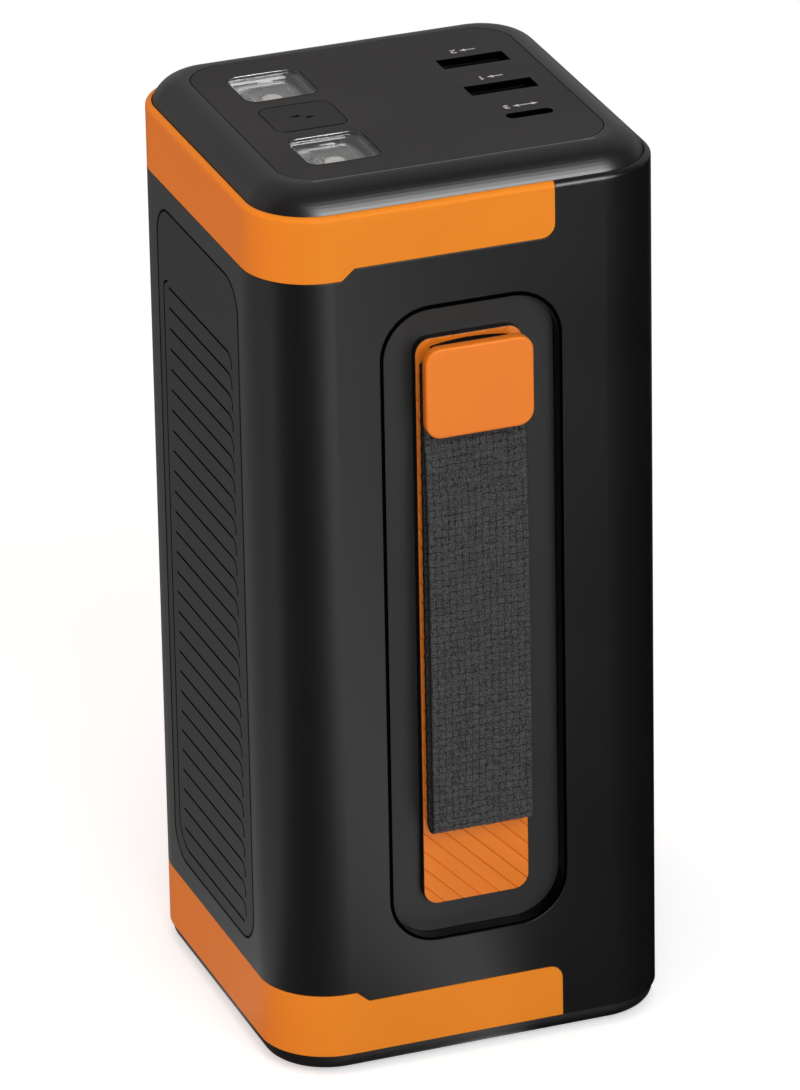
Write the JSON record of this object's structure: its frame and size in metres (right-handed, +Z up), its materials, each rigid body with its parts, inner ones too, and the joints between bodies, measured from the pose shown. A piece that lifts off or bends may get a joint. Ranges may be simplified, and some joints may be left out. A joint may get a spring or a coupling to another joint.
{
  "type": "jump starter pack",
  "caption": "Upright battery jump starter with rounded corners, orange trim bands, a webbing carry strap in a front well, torch windows, power button and USB ports on top.",
  "frame": {"origin": "on the table under the middle of the body, at the base pad's underside", "axes": "+Z up along the body, -Y towards the face with the carry strap, +X to the side with the USB ports"},
  "size_m": [0.078, 0.0794, 0.176],
  "materials": {
    "body_plastic": "fine satin",
    "cap_gloss": "semi-gloss",
    "panel_plastic": "matte",
    "trim_orange": "satin",
    "base_plastic": "satin",
    "soft_rubber": "matte",
    "screw_steel": "zinc plated",
    "grip_plastic": "fine grain",
    "tray_plastic": "semi-gloss",
    "pad_orange": "satin",
    "webbing": "woven",
    "plate_steel": "zinc plated",
    "button_plastic": "matte",
    "inner_plastic": "moulded",
    "clear_lens": "clear",
    "reflector": "metallised",
    "circuit_board": "solder mask",
    "led_emitter": "phosphor",
    "wire_sleeve": "smooth",
    "port_steel": "nickel plated",
    "port_plastic": "moulded",
    "cell_foil": "laminate foil",
    "foam": "closed cell",
    "copper_bar": "bare copper",
    "capacitor_can": "sleeved",
    "ferrite": "moulded",
    "contact_brass": "plated",
    "lead_red": "smooth",
    "lead_black": "smooth",
    "socket_plastic": "moulded"
  },
  "bodies": {
    "housing": {"body_sleeve": "body_plastic", "top_cap": "cap_gloss", "top_panel": "panel_plastic", "upper_trim": "trim_orange", "lower_trim": "trim_orange", "base_cover": "base_plastic", "base_pad": "soft_rubber", "base_screws": "screw_steel", "grip_left": "grip_plastic", "grip_right": "grip_plastic", "strap_tray": "tray_plastic", "strap_pad": "pad_orange", "strap_cap": "pad_orange", "strap_root": "webbing", "strap_clamp": "plate_steel", "strap_screws": "screw_steel", "tact_switch": "inner_plastic", "torch_lens_rear": "clear_lens", "torch_lens_front": "clear_lens", "torch_reflector_rear": "reflector", "torch_reflector_front": "reflector", "torch_boards": "circuit_board", "torch_leds": "led_emitter", "torch_wires": "wire_sleeve", "port_board": "circuit_board", "board_screws": "screw_steel", "usb_a_shell_1": "port_steel", "usb_a_shell_2": "port_steel", "usb_a_tongue_1": "port_plastic", "usb_a_tongue_2": "port_plastic", "usb_c_shell": "port_steel", "usb_c_tongue": "port_plastic", "cell_1": "cell_foil", "cell_2": "cell_foil", "cell_3": "cell_foil", "cell_4": "cell_foil", "foam_pads": "foam", "cell_frame_lower": "inner_plastic", "cell_frame_upper": "inner_plastic", "series_bars": "copper_bar", "board_straps": "copper_bar", "main_board": "circuit_board", "capacitors": "capacitor_can", "relay": "inner_plastic", "inductors": "ferrite", "transistors": "inner_plastic", "board_link": "inner_plastic", "lead_terminals": "contact_brass", "lead_positive": "lead_red", "lead_negative": "lead_black", "jump_socket": "socket_plastic", "jump_contact_positive": "contact_brass", "jump_contact_negative": "contact_brass"},
    "strap": {"strap_loop": "webbing"},
    "button": {"power_button": "button_plastic", "switch_plunger": "inner_plastic"},
    "cover": {"socket_cover": "soft_rubber"}
  },
  "joints": [
    {"name": "strap_swing", "type": "hinge", "parent": "housing", "child": "strap", "pos_m": [0, -0.03825, 0.126], "axis": [-1, 0, 0], "range_deg": [0, 90]},
    {"name": "button_press", "type": "slide", "parent": "housing", "child": "button", "axis": [0, 0, -1], "range_m": [0, 0.0006], "stiffness_N_per_m": 400, "springref_m": -0.0005},
    {"name": "socket_cover_hinge", "type": "hinge", "parent": "housing", "child": "cover", "pos_m": [0, 0.03665, 0.1204], "axis": [1, 0, 0], "range_deg": [0, 95]}
  ]
}
